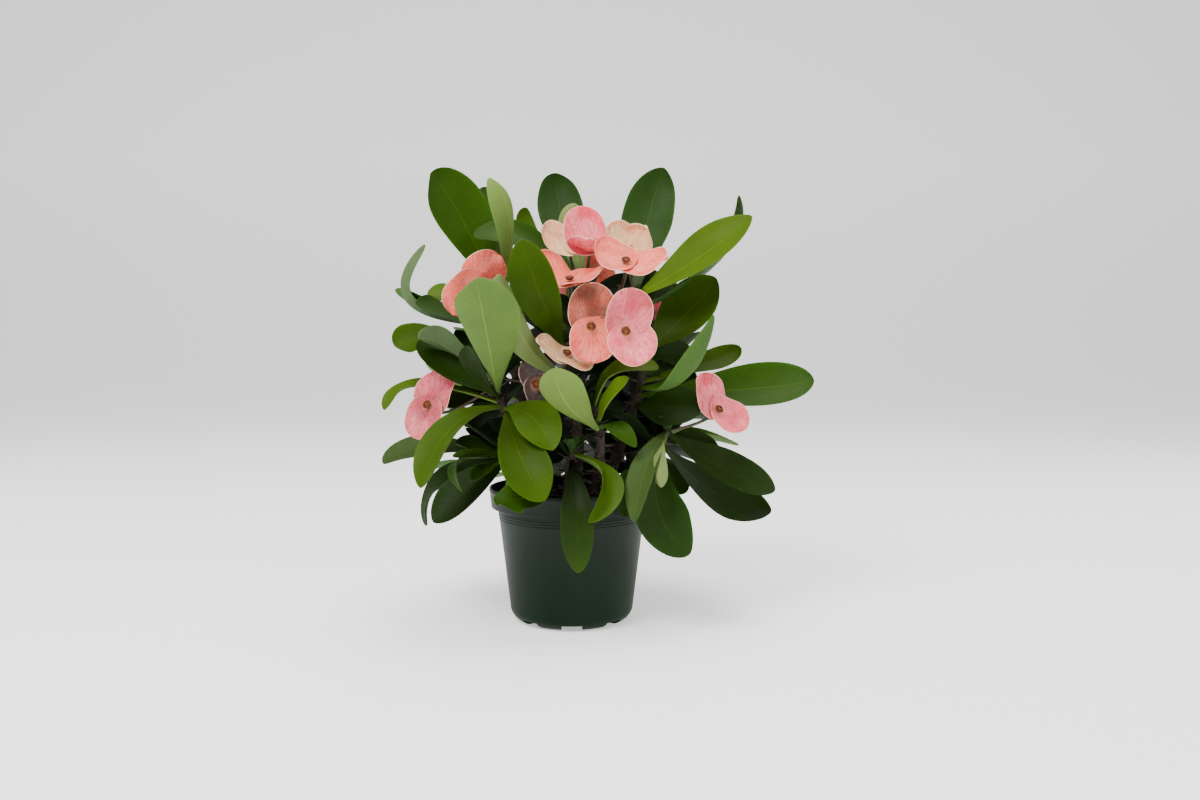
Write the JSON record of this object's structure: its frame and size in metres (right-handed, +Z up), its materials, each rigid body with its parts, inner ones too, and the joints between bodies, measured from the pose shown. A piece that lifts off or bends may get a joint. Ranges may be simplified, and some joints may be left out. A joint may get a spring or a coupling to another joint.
{
  "type": "potted euphorbia",
  "caption": "Bushy crown of thorns in flower, with paddle-shaped leaves, spiny stems and two-lobed pink and cream blooms, in a dark green plastic nursery pot filled with potting mix.",
  "frame": {"origin": "middle of the pot's underside, on the plane that the pot stands on", "axes": "+Z is up along the pot's axis, +X is to the right and +Y to the back as the plant is seen from the front"},
  "size_m": [0.2859, 0.2277, 0.303],
  "materials": {
    "pot": "satin",
    "soil": "matte",
    "foliage": "satin",
    "bract_pink": "matte",
    "bract_salmon": "matte",
    "bract_cream": "matte",
    "flower_cup": "satin"
  },
  "bodies": {
    "root": {"pot": "pot", "soil": "soil", "shoot_upper_left": "foliage", "shoot_left": "foliage", "shoot_low_left": "foliage", "shoot_centre": "foliage", "shoot_top": "foliage", "shoot_right": "foliage", "shoot_low_right": "foliage", "shoot_centre_front": "foliage", "shoot_low_front": "foliage", "shoot_back_left": "foliage", "shoot_back": "foliage", "shoot_back_right": "foliage", "shoot_low_back_left": "foliage", "bloom_1_bracts": "bract_salmon", "bloom_1_cup": "flower_cup", "bloom_2_bracts": "bract_pink", "bloom_2_cup": "flower_cup", "bloom_3_bracts": "bract_cream", "bloom_3_cup": "flower_cup", "bloom_4_bracts": "bract_salmon", "bloom_4_cup": "flower_cup", "bloom_5_bracts": "bract_salmon", "bloom_5_cup": "flower_cup", "bloom_6_bracts": "bract_cream", "bloom_6_cup": "flower_cup", "bloom_7_bracts": "bract_pink", "bloom_7_cup": "flower_cup", "bloom_8_bracts": "bract_cream", "bloom_8_cup": "flower_cup", "bloom_9_bracts": "bract_salmon", "bloom_9_cup": "flower_cup", "bloom_10_bracts": "bract_pink", "bloom_10_cup": "flower_cup", "bloom_11_bracts": "bract_pink", "bloom_11_cup": "flower_cup", "bloom_12_bracts": "bract_pink", "bloom_12_cup": "flower_cup", "bloom_13_bracts": "bract_pink", "bloom_13_cup": "flower_cup", "bloom_14_bracts": "bract_salmon", "bloom_14_cup": "flower_cup", "bloom_15_bracts": "bract_pink", "bloom_15_cup": "flower_cup", "bloom_16_bracts": "bract_cream", "bloom_16_cup": "flower_cup"}
  },
  "joints": []
}
